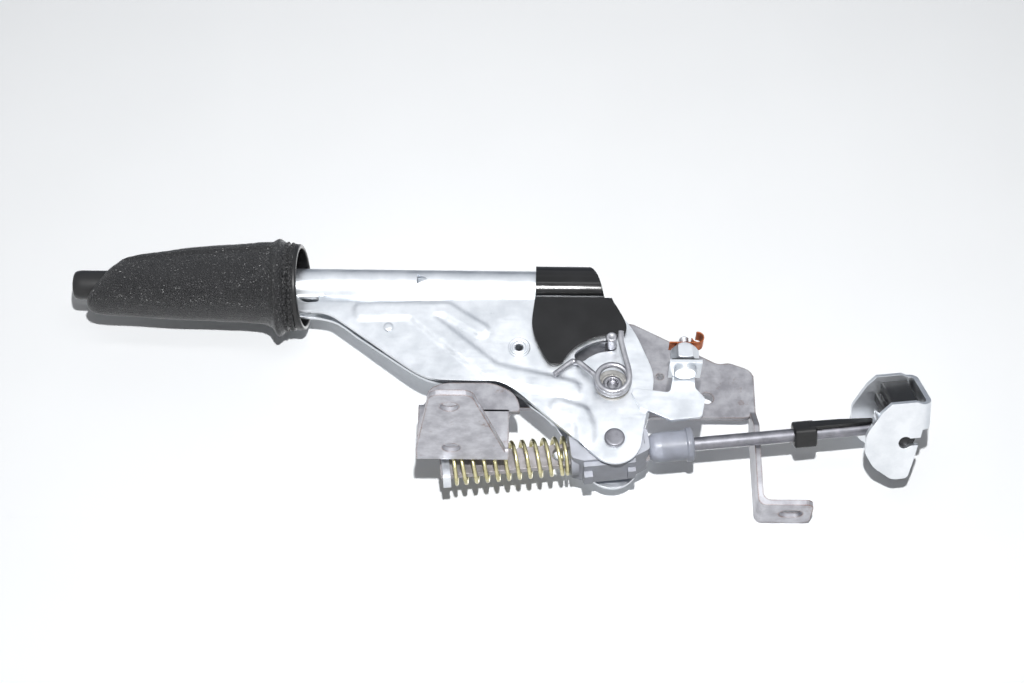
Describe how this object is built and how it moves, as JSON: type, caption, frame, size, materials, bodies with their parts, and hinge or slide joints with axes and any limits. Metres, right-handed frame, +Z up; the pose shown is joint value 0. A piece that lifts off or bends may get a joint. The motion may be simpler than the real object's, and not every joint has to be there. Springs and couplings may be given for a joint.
{
  "type": "parking brake lever",
  "caption": "Hand-pulled parking brake lever with ratchet, release button, leather grip, bolt-on steel bracket and self-adjusting cable pull ending in an equaliser.",
  "frame": {"origin": "middle of the two front bolt holes, on the underside of the front pad", "axes": "as fitted in a car: +X to the rear along the lever, +Z up, +Y to the side of the bracket's upright wall; the lever is at rest, fully down"},
  "size_m": [0.4576, 0.114, 0.1493],
  "materials": {
    "bare_steel": "bare pressed steel with rust tints",
    "zinc": "bright zinc plate",
    "hard_steel": "hardened steel",
    "dark_steel": "dark phosphated steel",
    "bush_metal": "sintered bush",
    "yellow_zinc": "yellow chromate zinc",
    "copper": "bare copper",
    "black_plastic": "black moulded plastic",
    "grey_plastic": "dark grey moulded plastic",
    "pale_plastic": "grey moulded plastic",
    "leather": "black grained leather"
  },
  "bodies": {
    "base": {"base_bracket": "bare_steel", "ratchet_sector": "hard_steel", "pivot_pin": "hard_steel", "stop_stud": "hard_steel"},
    "lever": {"lever_shell_near": "zinc", "lever_shell_far": "zinc", "pivot_bushes": "bush_metal", "shell_rivet": "zinc", "pawl_pin": "zinc", "clevis_pin": "dark_steel", "pivot_cover": "black_plastic", "return_spring": "hard_steel", "switch_arm": "zinc", "switch_clip": "black_plastic", "switch_nut": "zinc", "switch_stud": "zinc", "contact_leaf": "copper", "grip_core": "black_plastic", "grip_leather": "leather", "grip_collar": "black_plastic", "button_spring": "hard_steel"},
    "button": {"release_button": "black_plastic", "release_rod": "hard_steel"},
    "pawl": {"pawl": "hard_steel"},
    "adjuster": {"adjuster_housing": "grey_plastic", "adjuster_cover": "grey_plastic", "adjuster_lock": "hard_steel", "takeup_spring": "yellow_zinc"},
    "rack": {"adjuster_rack": "dark_steel", "rack_head": "zinc", "rod_socket": "pale_plastic"},
    "rod": {"pull_rod": "dark_steel", "rod_clip": "black_plastic"},
    "equaliser": {"equaliser_yoke": "zinc", "equaliser_liner": "black_plastic"}
  },
  "joints": [
    {"name": "lever_pull", "type": "hinge", "parent": "base", "child": "lever", "pos_m": [0.083, 0.05, 0.044], "axis": [0, 1, 0], "range_deg": [0, 42], "deforming": ["return_spring"]},
    {"name": "button_press", "type": "slide", "parent": "lever", "child": "button", "axis": [1, 0, 0], "range_m": [0, 0.006], "stiffness_N_per_m": 900, "springref_m": -0.006, "deforming": ["button_spring"]},
    {"name": "pawl_turn", "type": "hinge", "parent": "lever", "child": "pawl", "pos_m": [0.034, 0.05, 0.066], "axis": [0, 1, 0], "range_deg": [0, 8]},
    {"name": "adjuster_swing", "type": "hinge", "parent": "lever", "child": "adjuster", "pos_m": [0.0835, 0.05, 0.013], "axis": [0, 1, 0], "range_deg": [-42, 0]},
    {"name": "rack_slide", "type": "slide", "parent": "adjuster", "child": "rack", "axis": [0.9938, 0, 0.1115], "range_m": [0, 0.028], "stiffness_N_per_m": 1200, "springref_m": -0.03, "deforming": ["takeup_spring"]},
    {"name": "rod_spin", "type": "hinge", "parent": "rack", "child": "rod", "pos_m": [0.11431, 0.05, 0.01646], "axis": [0.9938, 0, 0.1115], "continuous": true},
    {"name": "equaliser_yaw", "type": "hinge", "parent": "rod", "child": "equaliser", "pos_m": [0.23455, 0.05, 0.02994], "axis": [-0.0607, -0.8387, 0.5412], "range_deg": [-12, 12]}
  ],
  "couplings": [
    {"joint": "pawl_turn", "follows": "button_press", "rad_per_m": 21.978},
    {"joint": "adjuster_swing", "follows": "lever_pull", "ratio": -1}
  ]
}
